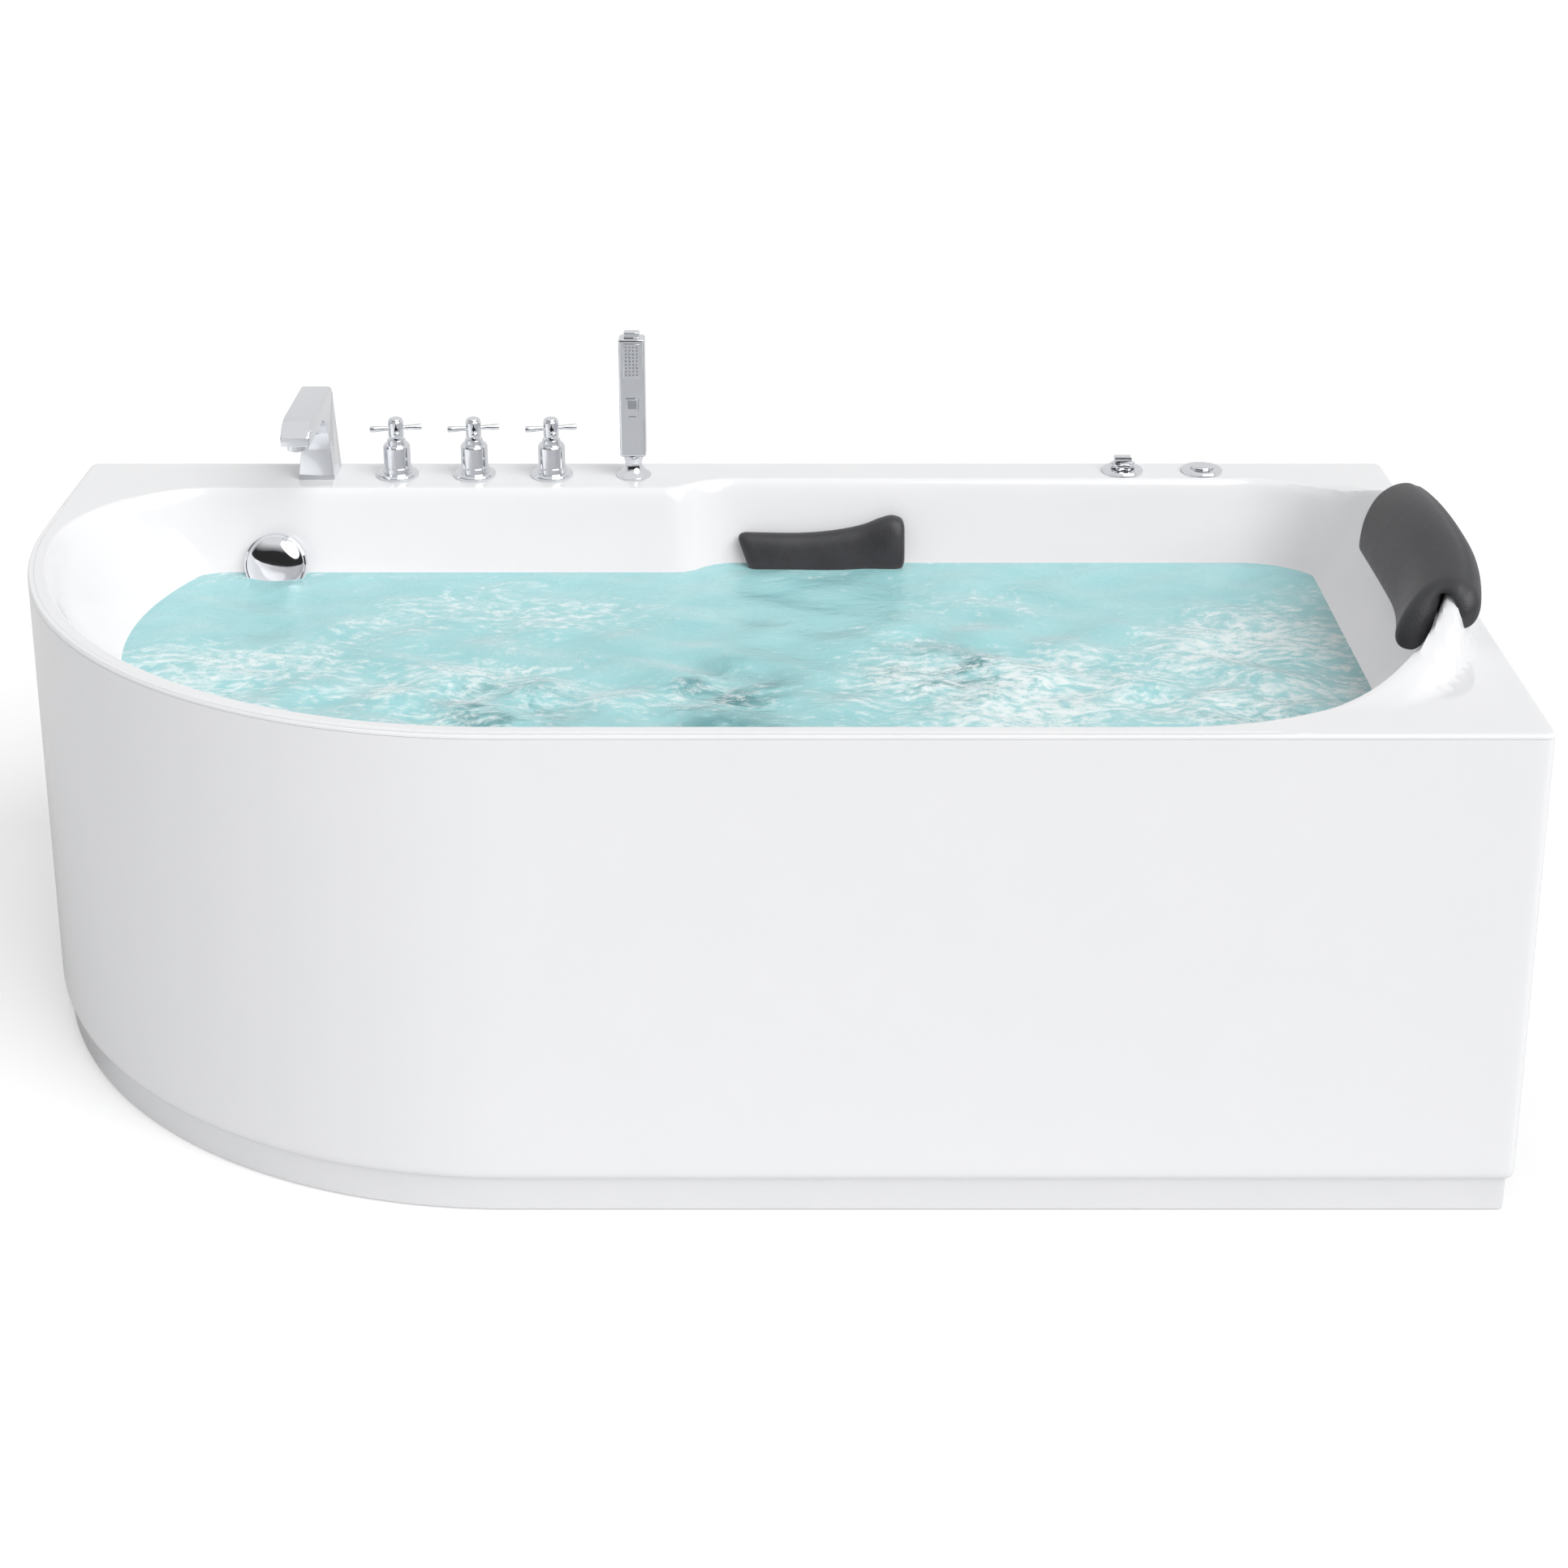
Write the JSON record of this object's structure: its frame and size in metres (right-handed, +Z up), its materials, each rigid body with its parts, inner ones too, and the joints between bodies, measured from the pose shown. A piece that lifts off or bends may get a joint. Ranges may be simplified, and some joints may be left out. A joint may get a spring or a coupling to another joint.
{
  "type": "jetted bathtub",
  "caption": "White corner bath with one rounded end, front panel, deck taps, hand shower, headrest and water jets fed by a pump under its head end.",
  "frame": {"origin": "on the floor under the middle of the bath's plan rectangle", "axes": "+X along the bath from the rounded foot end to the head end, +Y from the front panel to the wall behind, +Z up"},
  "size_m": [1.8, 0.9, 0.8066],
  "materials": {
    "acrylic": "gloss white acrylic sheet",
    "foam": "soft dark grey foam skin",
    "chrome": "polished chrome",
    "frame_steel": "galvanised steel tube",
    "zinc": "zinc-plated fasteners",
    "board": "laminated board",
    "pvc": "white pressure pipe",
    "grey_plastic": "grey moulded plastic",
    "black_plastic": "black moulded plastic",
    "brass": "machined brass",
    "motor_alu": "cast aluminium",
    "hose": "black rubber hose"
  },
  "bodies": {
    "bath": {"air_pipes": "hose", "apron_brackets": "frame_steel", "base_board": "board", "control_bodies": "grey_plastic", "control_discs": "chrome", "deck_nuts": "brass", "drain_body": "pvc", "drain_flange": "chrome", "foot_nuts": "zinc", "foot_pads": "black_plastic", "foot_studs": "zinc", "frame_cross_rails": "frame_steel", "frame_long_rails": "frame_steel", "frame_uprights": "frame_steel", "front_apron": "acrylic", "grip_pad": "foam", "handset_holder": "chrome", "handset_hose": "hose", "headrest_pad": "foam", "jet_bodies": "pvc", "jet_faces": "chrome", "jet_nuts": "grey_plastic", "mixing_tube": "brass", "overflow_bezel": "chrome", "overflow_body": "pvc", "overflow_pipe": "pvc", "plug_cable": "hose", "pump_fan_cover": "black_plastic", "pump_motor": "motor_alu", "pump_plate": "frame_steel", "pump_volute": "black_plastic", "spout": "chrome", "spout_aerator": "chrome", "suction_cover": "chrome", "suction_fitting": "pvc", "suction_pipe": "pvc", "switch_tube": "hose", "terminal_box": "black_plastic", "tub_shell": "acrylic", "valve_bodies": "chrome", "valve_cartridges": "brass", "waste_trap": "pvc", "water_pipe": "pvc"},
    "plug": {"drain_plug": "chrome"},
    "overflow_turner": {"overflow_knob": "chrome"},
    "pump_spinner": {"pump_rotor": "black_plastic"},
    "air_turner": {"air_knob": "chrome"},
    "push_button": {"on_button": "chrome"},
    "hot_cross": {"hot_handle": "chrome"},
    "cold_cross": {"cold_handle": "chrome"},
    "diverter_cross": {"diverter_handle": "chrome"},
    "hand_shower": {"handset": "chrome"},
    "shower_button": {"handset_button": "chrome"},
    "nozzle_1": {"jet_nozzle_1": "chrome"},
    "nozzle_2": {"jet_nozzle_2": "chrome"},
    "nozzle_3": {"jet_nozzle_3": "chrome"},
    "nozzle_4": {"jet_nozzle_4": "chrome"},
    "nozzle_5": {"jet_nozzle_5": "chrome"},
    "nozzle_6": {"jet_nozzle_6": "chrome"}
  },
  "joints": [
    {"name": "overflow_turn", "type": "hinge", "parent": "bath", "child": "overflow_turner", "pos_m": [-0.622, 0.31523, 0.502], "axis": [0, -0.9621, 0.2726], "range_deg": [0, 100]},
    {"name": "plug_lift", "type": "slide", "parent": "bath", "child": "plug", "axis": [0, 0, 1], "range_m": [0, 0.012]},
    {"name": "pump_spin", "type": "hinge", "parent": "bath", "child": "pump_spinner", "pos_m": [0.79, 0, 0.225], "axis": [0, 1, 0], "continuous": true},
    {"name": "air_turn", "type": "hinge", "parent": "bath", "child": "air_turner", "pos_m": [0.536, 0.415, 0.6], "axis": [0, 0, 1], "range_deg": [0, 180]},
    {"name": "button_press", "type": "slide", "parent": "bath", "child": "push_button", "axis": [0, 0, -1], "range_m": [0, 0.003], "stiffness_N_per_m": 500, "springref_m": -0.003},
    {"name": "hot_turn", "type": "hinge", "parent": "bath", "child": "hot_cross", "pos_m": [-0.466, 0.399, 0.65], "axis": [0, 0, 1], "range_deg": [0, 90]},
    {"name": "cold_turn", "type": "hinge", "parent": "bath", "child": "cold_cross", "pos_m": [-0.3595, 0.399, 0.65], "axis": [0, 0, 1], "range_deg": [0, 90]},
    {"name": "diverter_turn", "type": "hinge", "parent": "bath", "child": "diverter_cross", "pos_m": [-0.253, 0.399, 0.65], "axis": [0, 0, 1], "range_deg": [0, 90]},
    {"name": "shower_lift", "type": "slide", "parent": "bath", "child": "hand_shower", "axis": [0, 0, 1], "range_m": [0, 0.12]},
    {"name": "shower_button_press", "type": "slide", "parent": "hand_shower", "child": "shower_button", "axis": [0, 1, 0], "range_m": [0, 0.002], "stiffness_N_per_m": 400, "springref_m": -0.001},
    {"name": "nozzle_1_tilt", "type": "hinge", "parent": "bath", "child": "nozzle_1", "pos_m": [-0.22, -0.36084, 0.33], "axis": [1, 0, 0], "range_deg": [-15, 15]},
    {"name": "nozzle_2_tilt", "type": "hinge", "parent": "bath", "child": "nozzle_2", "pos_m": [0.06, -0.36084, 0.33], "axis": [1, 0, 0], "range_deg": [-15, 15]},
    {"name": "nozzle_3_tilt", "type": "hinge", "parent": "bath", "child": "nozzle_3", "pos_m": [0.29, -0.36084, 0.33], "axis": [1, 0, 0], "range_deg": [-15, 15]},
    {"name": "nozzle_4_tilt", "type": "hinge", "parent": "bath", "child": "nozzle_4", "pos_m": [-0.22, 0.28084, 0.33], "axis": [1, 0, 0], "range_deg": [-15, 15]},
    {"name": "nozzle_5_tilt", "type": "hinge", "parent": "bath", "child": "nozzle_5", "pos_m": [0.06, 0.31684, 0.33], "axis": [1, 0, 0], "range_deg": [-15, 15]},
    {"name": "nozzle_6_tilt", "type": "hinge", "parent": "bath", "child": "nozzle_6", "pos_m": [0.29, 0.31684, 0.33], "axis": [1, 0, 0], "range_deg": [-15, 15]}
  ],
  "couplings": [
    {"joint": "plug_lift", "follows": "overflow_turn", "m_per_rad": 0.006875}
  ]
}
